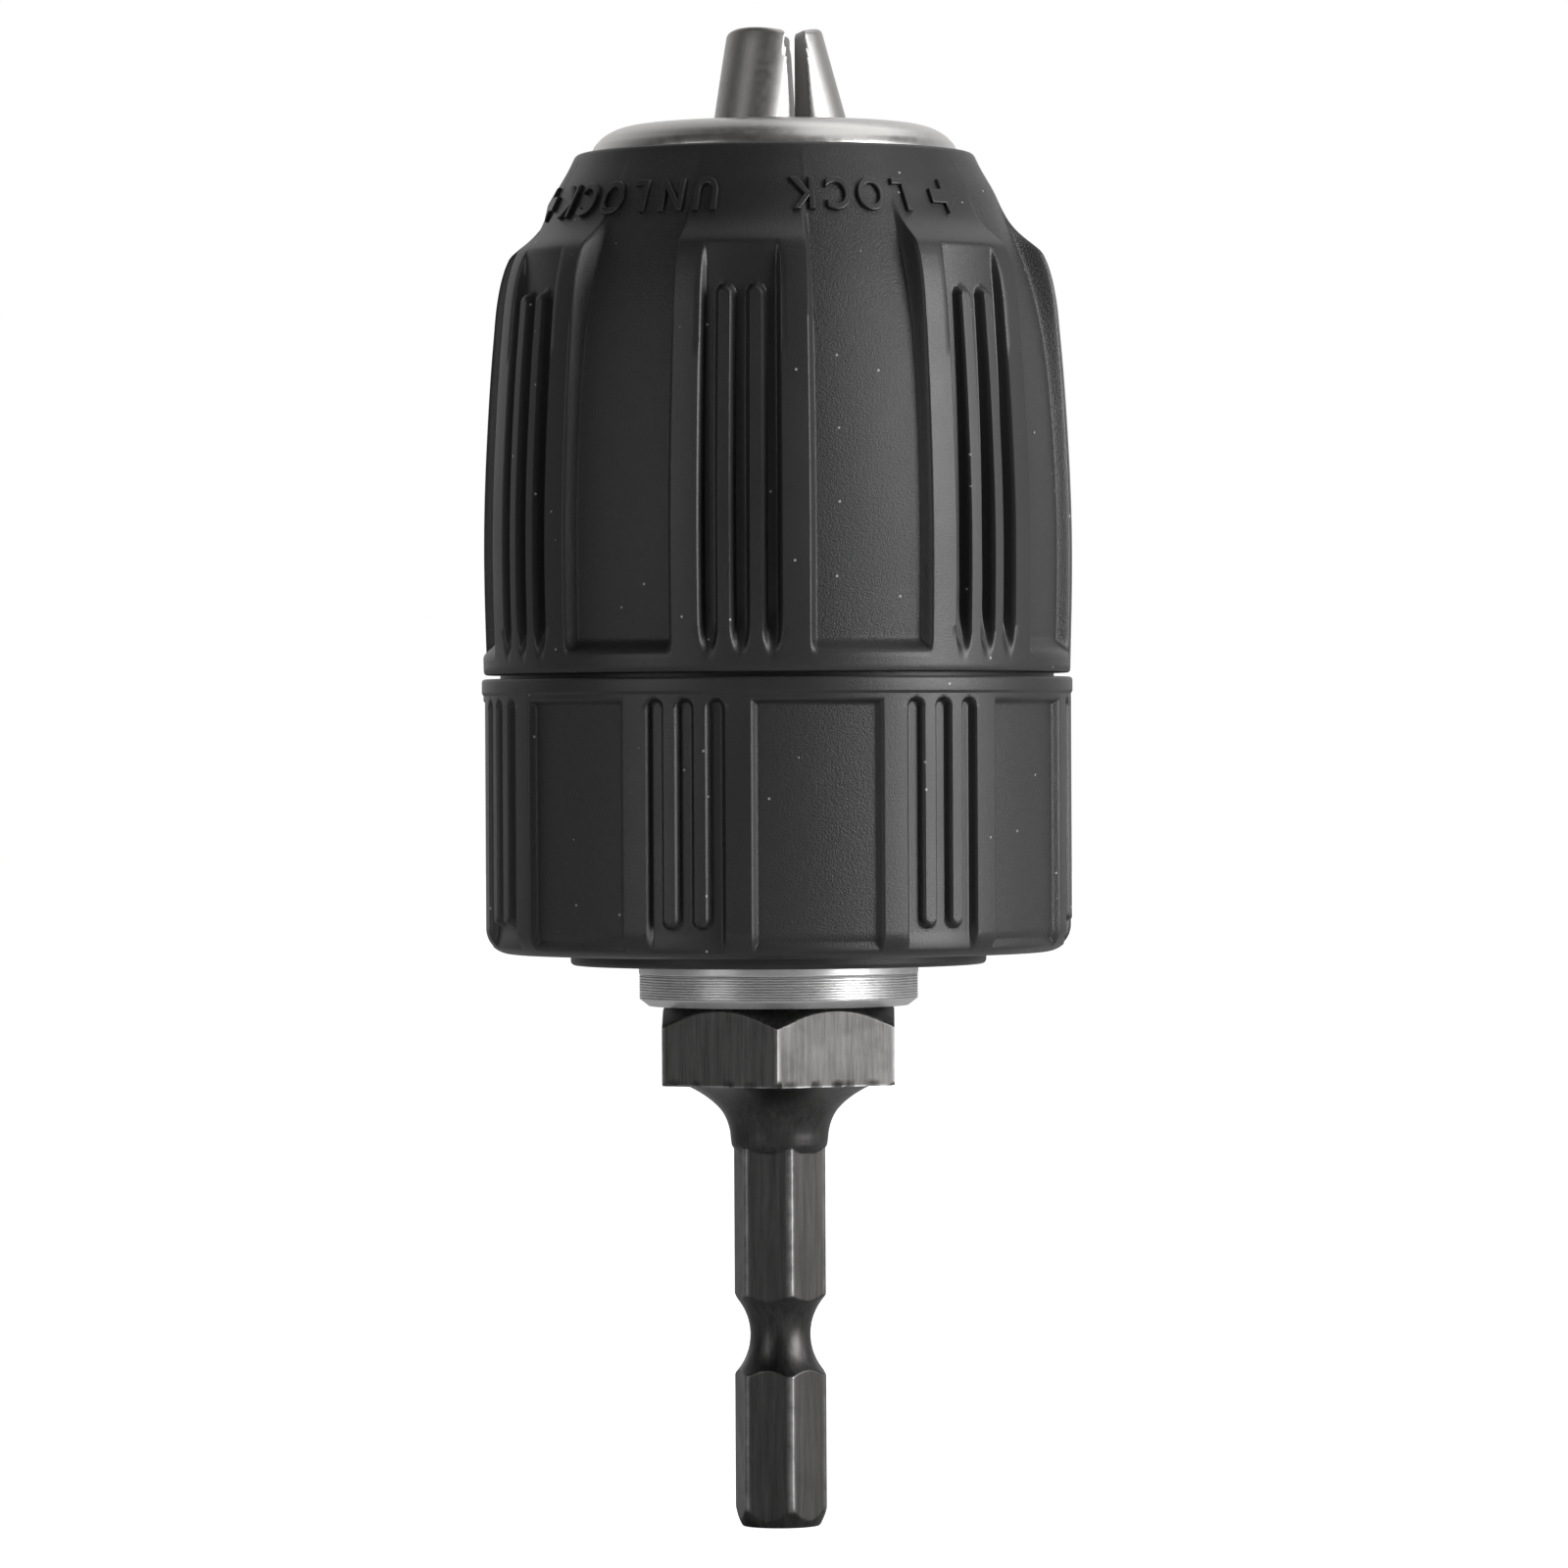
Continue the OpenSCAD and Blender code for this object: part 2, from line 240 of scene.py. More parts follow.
def raise_surface(tree, shader, height, depth):
    bump = add(tree, "ShaderNodeBump", {"Height": height, "Distance": depth})
    tree.links.new(bump.outputs["Normal"], shader.inputs["Normal"])


def grey(level, warm=0.0):
    """A grey colour; warm moves it a little towards red."""
    return (level * (1 + warm), level, level * (1 - warm), 1)


print("helpers for finishes are ready")


# %% [markdown]
# The sleeves are moulded in a spark-eroded tool, which leaves an even fine grain. In the flutes
# between the lands the grain is coarser than on the lands, so the meshes carry a value called
# grain, 0 on a land and 1 in a flute, that this finish reads. A few specks of dust sit on it.

# %% Black grained plastic
SPECK_SIZE = 0.06


def black_plastic():
    finish, tree, shader, place = new_finish("black_grained_plastic", 0)
    coarse = add(tree, "ShaderNodeAttribute", attribute_name="grain").outputs["Fac"]
    fine = noise(tree, place, 7000, 2, 0.7)
    cloud = noise(tree, place, 90, 3, 0.55)
    cells = add(tree, "ShaderNodeTexVoronoi", {"Vector": place, "Scale": 620.0})
    near = maths(tree, "LESS_THAN", cells.outputs["Distance"], SPECK_SIZE)
    pick = add(tree, "ShaderNodeSeparateColor", {"Color": cells.outputs["Color"]}).outputs[0]
    speck = maths(tree, "MULTIPLY", near, maths(tree, "GREATER_THAN", pick, 0.6))
    tone = blend_colours(tree, cloud, grey(0.010), grey(0.017))
    tone = blend_colours(tree, speck, tone, grey(0.30))
    tree.links.new(tone, shader.inputs["Base Color"])
    rough = between(tree, cloud, 0.3, 0.7, 0.40, 0.47)
    rough = maths(tree, "ADD", rough, maths(tree, "MULTIPLY", coarse, 0.03))
    tree.links.new(rough, shader.inputs["Roughness"])
    relief = maths(tree, "MULTIPLY", fine, between(tree, coarse, 0, 1, 0.35, 1.0))
    raise_surface(tree, shader, relief, 0.00006)
    return finish


# %% [markdown]
# Steel shows its last machining step. The body is turned, so fine rings run around it. The jaws
# are ground and tumbled, so short streaks run along them. The nose ring is pressed, polished and
# plated with satin nickel, which leaves only a faint mottle. The adapter is blackened, and the
# black has worn to grey along its corners, which its mesh marks with a value called wear.

# %% Four steels and a strip of brass


def turned_steel():
    finish, tree, shader, place = new_finish("turned_steel", 1)
    rings = noise(tree, stretched(tree, place, 30, 30, 9000), 1.0, 2, 0.6)
    mottle = noise(tree, place, 700, 3, 0.6)
    tree.links.new(blend_colours(tree, mottle, grey(0.57), grey(0.74)),
                   shader.inputs["Base Color"])
    tree.links.new(between(tree, rings, 0.3, 0.7, 0.34, 0.46), shader.inputs["Roughness"])
    raise_surface(tree, shader, rings, 0.000006)
    return finish


def jaw_steel():
    finish, tree, shader, place = new_finish("ground_jaw_steel", 1)
    streaks = noise(tree, stretched(tree, place, 2600, 2600, 300), 1.0, 3, 0.65)
    pits = noise(tree, place, 2600, 2, 0.6)
    tree.links.new(blend_colours(tree, streaks, grey(0.32, 0.02), grey(0.42, 0.02)),
                   shader.inputs["Base Color"])
    tree.links.new(between(tree, pits, 0.3, 0.7, 0.38, 0.46), shader.inputs["Roughness"])
    raise_surface(tree, shader, streaks, 0.000003)
    return finish


def satin_nickel():
    finish, tree, shader, place = new_finish("satin_nickel", 1)
    mottle = noise(tree, place, 1500, 3, 0.6)
    fine = noise(tree, place, 6500, 1, 0.5)
    tree.links.new(blend_colours(tree, mottle, grey(0.45, 0.025), grey(0.57, 0.025)),
                   shader.inputs["Base Color"])
    tree.links.new(between(tree, mottle, 0.3, 0.7, 0.28, 0.38), shader.inputs["Roughness"])
    raise_surface(tree, shader, maths(tree, "ADD", mottle, fine), 0.000006)
    return finish


def black_oxide():
    finish, tree, shader, place = new_finish("black_oxide", 1)
    wear = add(tree, "ShaderNodeAttribute", attribute_name="wear").outputs["Fac"]
    lines = noise(tree, stretched(tree, place, 2400, 2400, 120), 1.0, 4, 0.75)
    patches = noise(tree, place, 420, 4, 0.65)
    scuffed = maths(tree, "MULTIPLY", wear, between(tree, patches, 0.3, 0.65, 0.2, 1.0))
    black = blend_colours(tree, between(tree, lines, 0.3, 0.7, 0, 1), grey(0.040, 0.02),
                          grey(0.078, 0.02))
    tree.links.new(blend_colours(tree, scuffed, black, grey(0.30)), shader.inputs["Base Color"])
    tree.links.new(between(tree, patches, 0.3, 0.7, 0.33, 0.45), shader.inputs["Roughness"])
    raise_surface(tree, shader, lines, 0.000012)
    return finish


def cage_brass():
    finish, tree, shader, place = new_finish("pressed_brass", 1)
    stain = noise(tree, place, 900, 3, 0.6)
    tree.links.new(blend_colours(tree, stain, (0.62, 0.42, 0.16, 1), (0.74, 0.55, 0.26, 1)),
                   shader.inputs["Base Color"])
    tree.links.new(between(tree, stain, 0.3, 0.7, 0.25, 0.4), shader.inputs["Roughness"])
    raise_surface(tree, shader, stain, 0.000008)
    return finish


finishes = {
    "black_plastic": black_plastic(),
    "bright_steel": turned_steel(),
    "hard_steel": jaw_steel(),
    "satin_nickel": satin_nickel(),
    "black_oxide": black_oxide(),
    "cage_brass": cage_brass(),
}
print("finishes:", ", ".join(finishes))

# %% [markdown]
# Each new piece rides on the body that carries its engineering node, takes the place of that node
# and names the finish it is made in. One helper does all three, and reads the body from the
# frame's own record, so a piece can't end up on the wrong body.

# %% Fit a piece to the frame
slot_of = {part["node"]: part["material_slot"] for part in frame["record"]["subparts"]}
body_of = {node: body for body, nodes in frame["record"]["behaviour"]["bodies"].items()
           for node in nodes}


def fit(piece, node, replace=True):
    piece.data.materials.clear()
    piece.data.materials.append(finishes[slot_of[node]])
    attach(piece, body_of[node])
    if replace:
        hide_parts(node)
    return piece


def span(node):
    """The lowest and highest point of a node, in millimetres."""
    low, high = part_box(node)
    return low.z / MM, high.z / MM


def mark(piece, name, values):
    """Stores a number at every point of the mesh for a finish to read."""
    layer = piece.data.attributes.new(name, "FLOAT", "POINT")
    layer.data.foreach_set("value", np.ravel(values).astype(np.float32))


print("engineering nodes:", len(slot_of))


# %% [markdown]
# Both sleeves repeat the same pattern seven times: a land with three grooves and two ribs
# between them, and then a shallow flute. The steep walls need many points and the plain
# stretches few, so the angles are packed where the walls are. A wall is not a hard step but an
# eased ramp, and its soft top and foot are what catch the thin lines of light.

# %% The pattern of lands, grooves and flutes
LANDS = 7
SECTOR = 2 * math.pi / LANDS
GROOVE_STEP = 2.37
GROOVE_HALF = 0.55
RIB_HALF = GROOVE_STEP / 2 - GROOVE_HALF
GROUP_HALF = GROOVE_STEP + GROOVE_HALF
GROOVE_WALL = 0.42


def sector_angles(land_half, group_half, wall):
    """Angles from the middle of one land to the middle of the next flute, in degrees."""
    side = np.concatenate([
        np.linspace(0, group_half + 0.6, 34),
        np.linspace(group_half + 0.6, land_half - wall, 5)[1:],
        np.linspace(land_half - wall, land_half + wall, 11)[1:],
        np.linspace(land_half + wall, 180 / LANDS, 8)[1:],
    ])
    return np.concatenate([-side[:0:-1], side[:-1]])


def from_land_middle(angle, turned_by):
    """The angle from the middle of the nearest land."""
    return (angle - turned_by + SECTOR / 2) % SECTOR - SECTOR / 2


def ramp(distance, run):
    """Rises smoothly from 0 to 1 over a run, and is halfway up at distance 0."""
    t = np.clip(distance / run + 0.5, 0, 1)
    return t * t * (3 - 2 * t)


def upright(across, height, half, low, high, point=1.0):
    """How far inside an upright bar with round ends a place lies; point draws out the low end."""
    below = np.maximum(low + half * point - height, 0) / point
    above = np.maximum(height - (high - half), 0)
    return half - np.hypot(across, below + above)


def grooves(across, height, low, high, rib_low, rib_high, point):
    """How far inside the recess of one land's grooves a place lies."""
    slots = [upright(across - k * GROOVE_STEP, height, GROOVE_HALF, low, high, point)
             for k in (-1, 0, 1)]
    ribs = [upright(across - k * GROOVE_STEP / 2, height, RIB_HALF, rib_low, rib_high)
            for k in (-1, 1)]
    past_ribs = np.minimum(GROUP_HALF - np.abs(across), -np.maximum(*ribs))
    past_ribs = np.where((height > rib_high - 2) | (height < rib_low + 2), past_ribs, -1)
    return np.maximum.reduce(slots + [past_ribs])


print(f"{LANDS} lands, with grooves {GROOVE_STEP} mm apart")


# %% [markdown]
# The front sleeve is the piece that the eye meets first. Its lands swell a little below the
# middle, draw in towards the nose and end in a sloped shoulder, where the flutes run out into
# the cone. The land and the flute each get a fair curve, and the surface moves from one to the
# other across the flute's wall. The grooves are cut with a straight floor, so they grow shallow
# where the land curves in above them.

# %% The front sleeve's surface
front_low, front_high = span("front_sleeve")
FRONT_TURN = math.radians(-96.9)
FRONT_LAND_HALF = 14.1
FRONT_RADIUS = 22.0
SLEEVE_BORE = 19.0
FRONT_STEP = front_low + 1.55
FLUTE_WALL = 0.62

land_curve = fair_curve(
    (front_low, 22.14), (front_low + 2.4, 22.2), (front_low + 6, 22.29),
    (front_low + 9.7, 22.32), (front_low + 14.8, 22.2), (front_low + 18.4, 22.02),
    (front_low + 21.9, 21.8), (front_low + 25.5, 21.5), (front_low + 28.2, 21.22),
    (front_low + 29.9, 20.88), (front_low + 31.1, 20.48), (front_low + 31.7, 20.16),
    (front_low + 32.2, 19.6), (front_low + 32.8, 18.84), (front_low + 33.4, 18.2),
    (front_low + 34.0, 17.72), (front_low + 34.9, 17.2), (front_low + 36.2, 16.6),
    (front_high - 0.9, 15.42), (front_high, 15.0))
flute_curve = fair_curve(
    (front_low, 21.1), (front_low + 5, 21.24), (front_low + 10, 21.3), (front_low + 15, 21.17),
    (front_low + 20, 20.86), (front_low + 24, 20.45), (front_low + 27, 19.95),
    (front_low + 29.2, 19.4), (front_low + 31.2, 18.72), (front_low + 33.2, 17.88),
    (front_low + 34.8, 17.16), (front_low + 36.2, 16.6), (front_high - 0.9, 15.42),
    (front_high, 15.0))
groove_floor = fair_curve(
    (front_low, 22.1), (front_low + 1.8, 21.9), (front_low + 3.6, 21.32), (front_low + 7, 21.25),
    (front_low + 14, 21.2), (front_low + 21, 20.98), (front_low + 27, 20.62),
    (front_low + 31, 20.3), (front_high, 20.0))


def front_surface(angle, height):
    """Radius of the front sleeve and its grain, at an angle in radians and a height."""
    across = from_land_middle(angle, FRONT_TURN) * FRONT_RADIUS
    land = land_curve(height)
    flute = flute_curve(height)
    half = math.radians(FRONT_LAND_HALF) * FRONT_RADIUS
    in_flute = ramp(np.abs(across) - half, FLUTE_WALL) * ramp(height - FRONT_STEP - 0.4, 1.3)
    surface = land + (np.minimum(flute, land) - land) * in_flute
    inside = grooves(across, height, front_low + 1.5, front_high, -99, front_low + 28.3, 3.2)
    cut = np.maximum(land - groove_floor(height), 0) * ramp(inside, GROOVE_WALL)
    return surface - cut, in_flute


print(f"front sleeve: {front_high - front_low:.1f} mm tall")


# %% Skin the front sleeve
sector_deg = sector_angles(FRONT_LAND_HALF, 7.6, 1.0)
front_angles = np.concatenate([
    FRONT_TURN + math.radians(k * 360 / LANDS) + np.radians(sector_deg) for k in range(LANDS)])
front_heights = np.concatenate([
    front_low + np.array([0.32, 0.6, 1.0]),
    np.arange(front_low + 1.3, front_low + 5, 0.2),
    np.arange(front_low + 5, front_low + 26, 1.2),
    np.arange(front_low + 26, front_low + 30, 0.2),
    np.arange(front_low + 30, front_low + 37, 0.26),
    np.arange(front_low + 37.2, front_high - 0.7, 0.5)])
front_radii, front_grain = front_surface(front_angles[None, :], front_heights[:, None])
rim_in = 14.3
rim_land = float(land_curve(front_high - 0.9))
low_edge = outline((21.0, front_low), (22.14, front_low, 0.3), (22.14, front_low + 1))[:-1]
top_edge = outline(
    (rim_land, front_high - 0.9), (15.0, front_high, 0.55), (rim_in, front_high, 0.3),
    (rim_in, front_high - 3), (13.0, front_high - 3), (13.0, front_high - 4.5),
    (15.0, front_high - 4.5), (18.2, front_high - 12.5), (18.2, front_low + 20.3),
    (SLEEVE_BORE, front_low + 20.3), (SLEEVE_BORE, front_low + 1.1), (21.0, front_low + 1.1))[1:]
front_grid = np.concatenate([
    ring_of(low_edge[:, :1], low_edge[:, 1], front_angles),
    ring_of(front_radii, front_heights, front_angles),
    ring_of(top_edge[:, :1], top_edge[:, 1], front_angles)])
front_sleeve = fit(skin("front_sleeve_shell", front_grid), "front_sleeve")
columns = len(front_angles)
mark(front_sleeve, "grain", np.concatenate([
    np.zeros(len(low_edge) * columns), front_grain.ravel(), np.zeros(len(top_edge) * columns)]))

# %% [markdown]
# The rear sleeve repeats the pattern on a short drum. Its lower corner is a round of 2 mm, and
# the flutes and grooves run out into that round. Cutting along the surface's own normal and not
# straight inwards keeps their depth even there.

# %% The rear sleeve
rear_low, rear_high = span("rear_sleeve")
REAR_TURN = math.radians(-107.9)
REAR_LAND_HALF = 13.5
REAR_RADIUS = 22.18
DRUM_LOW = rear_low + 0.9
BOSS_RADIUS = 15.7
ROUND = 2.0
REAR_FLUTE_DEPTH = 0.55
REAR_GROOVE_FLOOR = 21.55
TAIL_HOLE = 10.61

rear_deg = sector_angles(REAR_LAND_HALF, 7.5, 0.9)
rear_angles = np.concatenate([
    REAR_TURN + math.radians(k * 360 / LANDS) + np.radians(rear_deg) for k in range(LANDS)])
turn = np.radians(np.linspace(-90, 0, 22))
round_low = np.stack([REAR_RADIUS - ROUND + ROUND * np.cos(turn),
                      DRUM_LOW + ROUND + ROUND * np.sin(turn)], axis=-1)
wall_heights = np.concatenate([
    np.arange(DRUM_LOW + ROUND + 0.15, DRUM_LOW + 4, 0.15),
    np.arange(DRUM_LOW + 4, rear_high - 3, 1.0),
    np.arange(rear_high - 3, rear_high - 1.4, 0.11)])
wall = np.stack([np.full(len(wall_heights), REAR_RADIUS), wall_heights], axis=-1)
lip = outline((REAR_RADIUS, rear_high - 1.4), (REAR_RADIUS, rear_high - 1.25, 0.1),
              (22.3, rear_high - 1.05, 0.1), (22.3, rear_high, 0.28), (20.9, rear_high),
              (20.9, rear_high + 1, 0.15), (20.3, rear_high + 1, 0.15), (20.3, rear_high),
              (19.3, rear_high), (19.3, rear_high - 10), (SLEEVE_BORE, rear_high - 10),
              (SLEEVE_BORE, rear_low + 3), (TAIL_HOLE, rear_low + 3), (TAIL_HOLE, rear_low),
              (BOSS_RADIUS, rear_low, 0.4), (BOSS_RADIUS, DRUM_LOW, 0.15))[1:]
drum = np.concatenate([round_low, wall])
normal = np.stack([np.concatenate([np.cos(turn), np.ones(len(wall))]),
                   np.concatenate([np.sin(turn), np.zeros(len(wall))])], axis=-1)


def rear_depth(angle, height, radius):
    """How deep the rear sleeve is cut at a place, and its grain."""
    across = from_land_middle(angle, REAR_TURN) * REAR_RADIUS
    half = math.radians(REAR_LAND_HALF) * REAR_RADIUS
    beyond = np.minimum(np.abs(across) - half,
                        np.minimum(height - (DRUM_LOW + 0.75), rear_high - 1.85 - height))
    in_flute = ramp(beyond, 0.5)
    inside = grooves(across, height, rear_low, rear_high - 1.7, DRUM_LOW + 2.3, 999, 1.0)
    groove = np.clip(radius - REAR_GROOVE_FLOOR, 0, 1) * ramp(inside, GROOVE_WALL)
    return np.maximum(REAR_FLUTE_DEPTH * in_flute, groove), in_flute


depth, rear_grain = rear_depth(rear_angles[None, :], drum[:, 1:], drum[:, :1])
drum_grid = ring_of(drum[:, :1] - normal[:, :1] * depth, drum[:, 1], rear_angles)
drum_grid[..., 2] = drum[:, 1:] - normal[:, 1:] * depth
rear_grid = np.concatenate([drum_grid, ring_of(lip[:, :1], lip[:, 1], rear_angles)])
rear_sleeve = fit(skin("rear_sleeve_shell", rear_grid), "rear_sleeve")
mark(rear_sleeve, "grain", np.concatenate([
    rear_grain.ravel(), np.zeros(len(lip) * len(rear_angles))]))

# %% [markdown]
# The cone of the front sleeve carries raised marks that say which way to turn. They read with
# the nose pointing down, as the tool is held, so they stand upside down here. Each letter is a
# text curve with a small bevel. Its mesh is then laid on the sleeve: the letter's width becomes an
# angle, its height runs down the cone, and its thickness stands off the surface.

# %% Raised marks on the cone
LETTER_SIZE = 3.7
LETTER_WIDTH = 0.74
LETTER_FOOT = front_low + 36.35
LETTER_OUT = 0.2
HALF_PLATE = 0.1
MARK_RADIUS = 17.0


def flat_shape(name, letter):
    """A letter or an arrow as a thin plate with a bevelled edge, in millimetres."""
    if letter == "arrow":
        curve = bpy.data.curves.new(name, "CURVE")
        curve.dimensions = "2D"
        curve.fill_mode = "BOTH"
        shape = ((-1.7, 1.25), (0.0, 2.5), (0.0, 1.75), (1.7, 1.75), (1.7, 0.75), (0.0, 0.75),
                 (0.0, 0.0))
        line = curve.splines.new("POLY")
        line.points.add(len(shape) - 1)
        for point, (x, y) in zip(line.points, shape):
            point.co = (x, y, 0, 1)
        line.use_cyclic_u = True
    else:
        curve = bpy.data.curves.new(name, "FONT")
        curve.body = letter
        curve.size = LETTER_SIZE
        curve.align_x = "CENTER"
    curve.extrude = HALF_PLATE
    curve.bevel_depth = HALF_PLATE
    curve.bevel_resolution = 1
    holder = bpy.data.objects.new(name, curve)
    bpy.context.scene.collection.objects.link(holder)
    bpy.context.view_layer.update()
    flat = bpy.data.meshes.new_from_object(
        holder.evaluated_get(bpy.context.evaluated_depsgraph_get()))
    bpy.data.objects.remove(holder)
    return flat


def lay_on_cone(flat, degrees, mirror):
    """Bends a flat mark round the cone, with its middle at an angle right of the front."""
    points = np.zeros(len(flat.vertices) * 3)
    flat.vertices.foreach_get("co", points)
    x, y, out = points.reshape(-1, 3).T
    angle = math.radians(degrees - 90) - mirror * x * LETTER_WIDTH / MARK_RADIUS
    height = LETTER_FOOT - y * 0.9
    radius = front_surface(angle, height)[0] + out + LETTER_OUT - HALF_PLATE
    laid = np.stack([radius * np.cos(angle), radius * np.sin(angle), height + out * 0.4], axis=-1)
    flat.vertices.foreach_set("co", (laid * MM).ravel())
    if mirror < 0:
        flat.flip_normals()
    return flat


marks = [("arrow", 46.5, 1)]
marks += [(letter, 33 - 8.6 * i, 1) for i, letter in enumerate("LOCK")]
marks += [(letter, -17 - 9.0 * i, 1) for i, letter in enumerate("UNLOCK")]
marks += [("arrow", -76, -1)]
mark_pieces = []
for start in (0, 180):
    for i, (letter, degrees, mirror) in enumerate(marks):
        name = f"raised_mark_{start}_{i}"
        laid = lay_on_cone(flat_shape(name, letter), degrees + start, mirror)
        mark_pieces.append(as_piece(name, laid))
with bpy.context.temp_override(active_object=mark_pieces[0], selected_editable_objects=mark_pieces,
                               selected_objects=mark_pieces):
    bpy.ops.object.join()
raised_marks = mark_pieces[0]
raised_marks.name = "raised_marks"
fit(raised_marks, "front_sleeve", replace=False)
mark(raised_marks, "grain", np.zeros(len(raised_marks.data.vertices)))
print("raised marks:", len(raised_marks.data.vertices), "points")

# %% [markdown]
# The nose ring is pressed from sheet steel over the nose of the body. Its crown is flat near the
# hole and rolls over into a short skirt that goes down inside the sleeve's rim. A fair curve
# gives the roll, and the hole gets a small turned-in lip.

# %% The nose ring
ring_low, ring_high = span("nose_ring")
CROWN_IN = 9.9
CROWN_OUT = 13.85
crown = fair_curve((CROWN_IN, ring_high), (10.97, ring_high - 0.02), (12.06, ring_high - 0.3),
                   (12.65, ring_high - 0.6), (13.07, ring_high - 0.9), (13.36, ring_high - 1.2),
                   (13.66, ring_high - 1.6), (CROWN_OUT, ring_high - 2.1))
crown_radii = np.linspace(CROWN_IN, CROWN_OUT, 40)
crown_line = np.stack([crown_radii, crown(crown_radii)], axis=-1)[::-1]
ring_line = np.concatenate([
    outline((12.95, ring_low), (13.92, ring_low, 0.15), (13.92, ring_high - 2.6, 0.5),
            (CROWN_OUT, ring_high - 2.15)),
    crown_line,
    outline((9.5, ring_high), (9.0, ring_high, 0.4), (9.0, ring_high - 1.2, 0.1),
            (12.95, ring_high - 1.2, 0.3))])
fit(turned("nose_ring_pressing", ring_line, 256), "nose_ring")

# %% [markdown]
# A jaw is a round rod that leans in towards the spindle. Its inner side is ground to a wedge of
# 120 degrees whose faces are parallel to the spindle and not to the rod, so the wedge grows
# towards the tip. Each cross-section is then a circle with up to three straight cuts.
# Measuring the distance from an inner point to each cut, and taking a soft minimum of them, gives
# the whole section with small honed edges in one formula.

# %% Directions of the jaws
jaw_nodes = ["jaw_1", "jaw_2", "jaw_3"]
slides = {joint["name"]: joint for joint in frame["joints"]}
jaw_axis = {node: Vector(slides[node + "_slide"]["axis"]).normalized() for node in jaw_nodes}
lean = math.acos(jaw_axis["jaw_1"].z)
print(f"jaws lean {math.degrees(lean):.1f} degrees")

# %% One jaw
JAW_RADIUS = 3.49
JAW_MEETING = 112.8
JAW_OPEN = 0.95
EDGE_FLAT = 0.66
TIP_DROP = 0.72
TIP_ROUND = 0.42
SECTION_POINT = 2.3
JAW_LENGTH = 36.0
THREAD_PITCH = 1.5875
SMOOTH_LENGTH = 9.5
THREAD_DEPTH = 1.0
HONED = 80


def jaw_section(along, angles, inset):
    """Distances from the section's inner point to its edge, at each angle."""
    across, side = np.cos(angles), np.sin(angles)
    reach = (JAW_RADIUS - inset) ** 2 - SECTION_POINT**2 * side**2
    walls = [-SECTION_POINT * across + np.sqrt(reach)]
    shift = along * math.sin(lean)
    slant = 0.5 * math.sqrt(3)
    for press, push, offset in ((-1, 0, JAW_OPEN + EDGE_FLAT),
                                (-slant, 0.5, JAW_OPEN * slant),
                                (-slant, -0.5, JAW_OPEN * slant)):
        # A cut keeps what lies on its far side from the spindle.
        speed = press * across * math.cos(lean) + push * side
        room = -press * (SECTION_POINT * math.cos(lean) + shift) - offset - inset * 0.3
        walls.append(np.where(speed > 1e-6, room / np.maximum(speed, 1e-6), 1e3))
    walls = np.clip(np.array(walls), 0.05, 1e3)
    return np.sum(walls**-HONED, axis=0) ** (-1 / HONED)


def jaw(name, node, step):
    """Skins a jaw from the tip up; step moves its thread by thirds of a pitch."""
    axis = jaw_axis[node]
    heading = math.atan2(-axis.y, -axis.x)
    angles = np.linspace(0, 2 * math.pi, 168, endpoint=False)
    tip = np.radians(np.linspace(90, 0, 7))
    along = TIP_DROP + np.concatenate([
        TIP_ROUND * (1 - np.sin(tip)), np.arange(1.4, SMOOTH_LENGTH, 0.7),
        np.arange(SMOOTH_LENGTH, JAW_LENGTH, 0.2), [JAW_LENGTH]])
    inset = np.concatenate([TIP_ROUND * (1 - np.cos(tip)), np.zeros(len(along) - len(tip))])
    rings = []
    for far, less in zip(along, inset):
        distance = jaw_section(far, angles, less)
        out = SECTION_POINT + distance * np.cos(angles)
        side = distance * np.sin(angles)
        u = far * math.sin(lean) + out * math.cos(lean)
        z = JAW_MEETING - far * math.cos(lean) + out * math.sin(lean)
        turn_part = (heading + np.arctan2(side, u)) / (2 * math.pi)
        phase = (z / (THREAD_PITCH * math.cos(lean)) + turn_part + step / 3) % 1
        tooth = np.clip(np.minimum(phase / 0.18, (1 - phase) / 0.45), 0, 1)
        facing = ramp(np.cos(np.arctan2(side, out)) - 0.45, 0.5)
        begun = ramp(far - TIP_DROP - SMOOTH_LENGTH, 1.2)
        u -= THREAD_DEPTH * (1 - tooth) * facing * begun
        rings.append(np.stack([u * math.cos(heading) - side * math.sin(heading),
                               u * math.sin(heading) + side * math.cos(heading), z], axis=-1))
    grid = np.array(rings)[::-1]
    return skin(name, grid, hollow=False)


for step, node in enumerate(jaw_nodes):
    fit(jaw(f"{node}_ground", node, step), node)

# %% [markdown]
# The drive adapter starts as a hex bar. Its shank is a smaller hex whose corners are turned
# down, with a round groove for the ball of a quick-change holder, and a flare joins it to the
# wrench hex. At every height its section is a hexagon limited by a turned circle, so the
# surface is the smaller of two radii at each angle: the distance to the flats, and the turned
# outline. The arcs where chamfers cross the flats then come out by themselves.

# %% Radii of the adapter
adapter_low, adapter_high = span("hex_adapter")
SHANK_FLATS = 6.35
WRENCH_FLATS = 17.46
SHANK_TURN = math.radians(42.7)
WRENCH_TURN = math.radians(29.4)
SEAT = adapter_low + 39.3
WRENCH_LOW = adapter_low + 33.4
GROOVE_HEIGHT = adapter_low + 14.45
SHANK_CORNER = 3.58
FLARE_FOOT = adapter_low + 28.25
FLARE_TOP = 7.3
STUD_PITCH = 25.4 / 20
STUD_TURNS = 11


def hexagon(angle, turn_angle, flats):
    off = (angle - turn_angle) % (math.pi / 3) - math.pi / 6
    return flats / 2 / np.cos(off)


